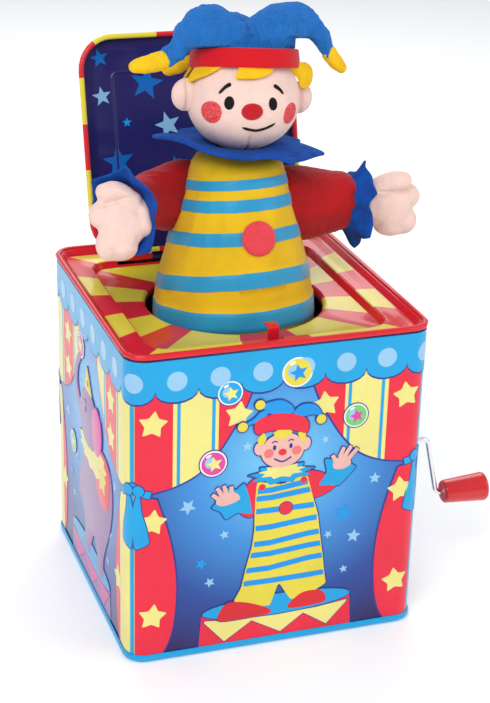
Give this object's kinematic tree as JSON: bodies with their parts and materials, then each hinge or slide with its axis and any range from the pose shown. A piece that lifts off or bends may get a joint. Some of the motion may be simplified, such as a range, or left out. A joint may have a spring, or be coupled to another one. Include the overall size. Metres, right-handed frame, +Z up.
{
  "type": "jack in the box",
  "caption": "Tin box with a crank-driven music movement, a latched hinged lid and a cloth clown on a spring that pops up through the deck.",
  "frame": {"origin": "middle of the box's footprint, on the surface it stands on", "axes": "+Z up through the doll's spring, -Y towards the clown panel and the latch, +X out along the crank shaft"},
  "size_m": [0.2, 0.1543, 0.2803],
  "materials": {
    "litho_walls": "gloss",
    "litho_deck": "gloss",
    "litho_lid": "gloss",
    "foot_pan": "gloss",
    "latch_red": "gloss",
    "steel": "satin",
    "spring_steel": "satin",
    "chrome": "polished",
    "brass": "satin",
    "nylon": "matte",
    "knob_red": "gloss",
    "gown_satin": "satin",
    "sleeve_red": "satin",
    "velour_blue": "matte",
    "velour_red": "matte",
    "felt_yellow": "matte",
    "plush_skin": "matte",
    "button_coral": "satin",
    "thread_black": "satin"
  },
  "bodies": {
    "box": {"box_body": "litho_walls", "base_pan": "foot_pan", "top_deck": "litho_deck", "hinge_leaf_deck": "litho_deck", "hinge_rivet_1": "steel", "hinge_rivet_2": "steel", "hinge_pin": "steel", "latch_bracket_left": "steel", "latch_bracket_right": "steel", "latch_spring": "spring_steel", "crank_bushing": "nylon", "movement_frame": "steel", "frame_rivet_1": "steel", "frame_rivet_2": "steel", "frame_rivet_3": "steel", "comb": "spring_steel", "comb_screw_1": "brass", "comb_screw_2": "brass", "spring_seat": "steel", "main_spring": "spring_steel", "doll_gown": "gown_satin", "belly_button": "button_coral"},
    "lid": {"lid_shell": "litho_lid", "hinge_leaf_lid": "litho_lid"},
    "latch": {"latch_shaft": "steel", "latch_hook": "latch_red", "latch_arm": "steel"},
    "crank": {"crank_rod": "chrome", "worm": "nylon", "shaft_collar": "steel", "knob_retainer": "steel"},
    "knob": {"crank_knob": "knob_red", "knob_cap": "knob_red"},
    "drum": {"drum_arbor": "steel", "worm_wheel": "nylon", "music_drum": "brass", "trip_finger": "steel"},
    "jack": {"neck_plug": "nylon", "head": "plush_skin", "ear_left": "plush_skin", "ear_right": "plush_skin", "hair": "felt_yellow", "hat_band": "velour_red", "hat_crown": "velour_blue", "hat_tail_left": "velour_blue", "hat_tail_right": "velour_blue", "hat_tail_back": "velour_blue", "hat_tip_left": "felt_yellow", "hat_tip_right": "felt_yellow", "hat_tip_back": "felt_yellow", "collar": "velour_blue", "sleeve_left": "sleeve_red", "sleeve_right": "sleeve_red", "cuff_left": "velour_blue", "cuff_right": "velour_blue", "hand_left": "plush_skin", "hand_right": "plush_skin"}
  },
  "joints": [
    {"name": "jack_rise", "type": "slide", "parent": "box", "child": "jack", "axis": [0, 0, 1], "range_m": [-0.135, 0], "stiffness_N_per_m": 40, "springref_m": 0.06, "deforming": ["main_spring", "doll_gown", "belly_button", "collar", "sleeve_left", "sleeve_right", "cuff_left", "cuff_right", "hand_left", "hand_right", "hat_band", "hat_crown", "hat_tail_left", "hat_tail_right", "hat_tail_back", "hat_tip_left", "hat_tip_right", "hat_tip_back"]},
    {"name": "lid_hinge", "type": "hinge", "parent": "box", "child": "lid", "pos_m": [0, 0.055, 0.1465], "axis": [1, 0, 0], "range_deg": [0, 105]},
    {"name": "latch_tilt", "type": "hinge", "parent": "box", "child": "latch", "pos_m": [0, -0.056, 0.124], "axis": [1, 0, 0], "range_deg": [0, 8], "stiffness_Nm_per_rad": 0.05, "springref_deg": -17.19, "deforming": ["latch_spring"]},
    {"name": "crank_turn", "type": "hinge", "parent": "box", "child": "crank", "pos_m": [0, -0.028, 0.072], "axis": [1, 0, 0], "continuous": true},
    {"name": "knob_spin", "type": "hinge", "parent": "crank", "child": "knob", "pos_m": [0.11, -0.028, 0.042], "axis": [1, 0, 0], "continuous": true},
    {"name": "drum_turn", "type": "hinge", "parent": "box", "child": "drum", "pos_m": [0.046, -0.04446, 0.06], "axis": [0, 0, 1], "continuous": true}
  ],
  "couplings": [
    {"joint": "drum_turn", "follows": "crank_turn", "ratio": 0.055556},
    {"joint": "lid_hinge", "follows": "jack_rise", "rad_per_m": -13.575}
  ]
}
